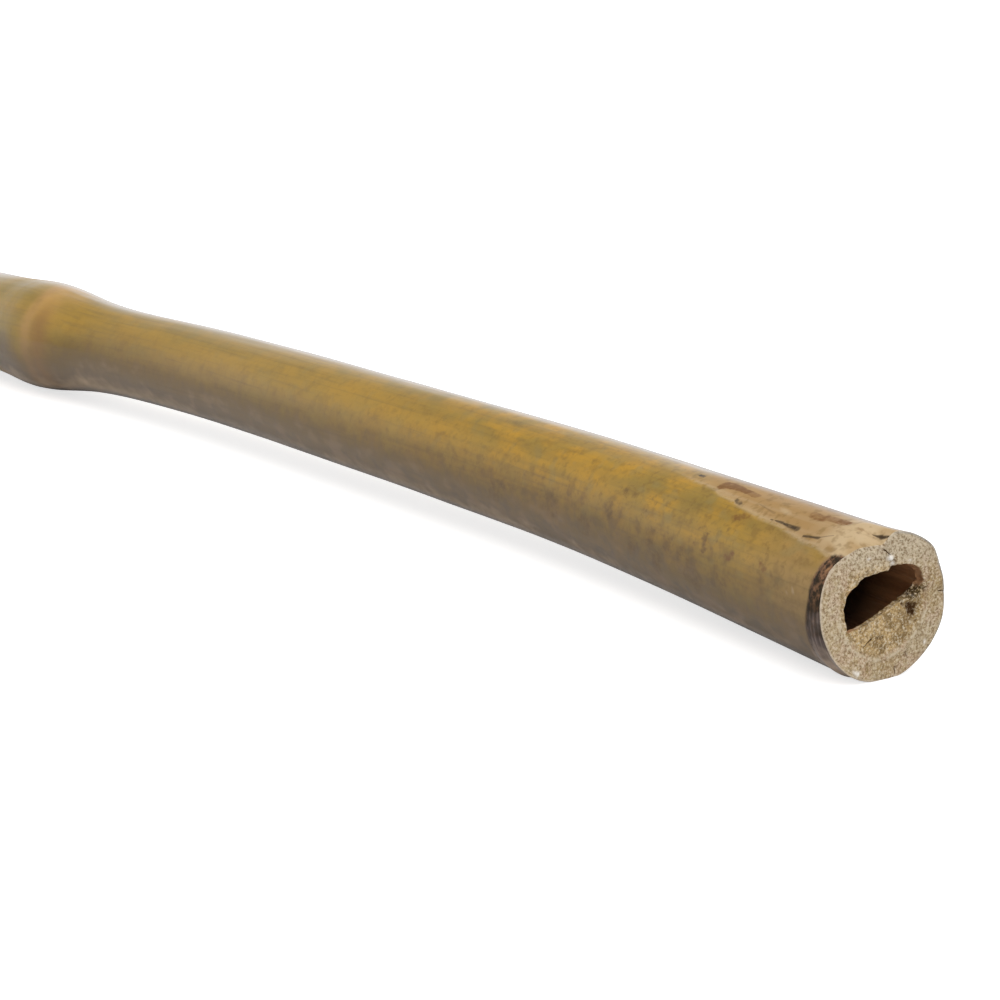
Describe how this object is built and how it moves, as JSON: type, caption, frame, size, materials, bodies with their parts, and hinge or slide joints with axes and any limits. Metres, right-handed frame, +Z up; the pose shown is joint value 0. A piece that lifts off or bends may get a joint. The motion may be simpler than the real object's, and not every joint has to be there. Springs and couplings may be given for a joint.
{
  "type": "bamboo cane",
  "caption": "Straight dried bamboo culm with swollen nodes, sawn square at each end, hollow, its thin end half closed by a node's diaphragm.",
  "frame": {"origin": "on the surface that the cane lies on, under the middle of its box", "axes": "+X along the cane towards its thin end, +Y across it, +Z up"},
  "size_m": [1.2004, 0.0722, 0.0283],
  "materials": {
    "culm": "satin, waxy olive tan skin with dull sawn ends"
  },
  "bodies": {
    "root": {"cane": "culm"}
  },
  "joints": []
}
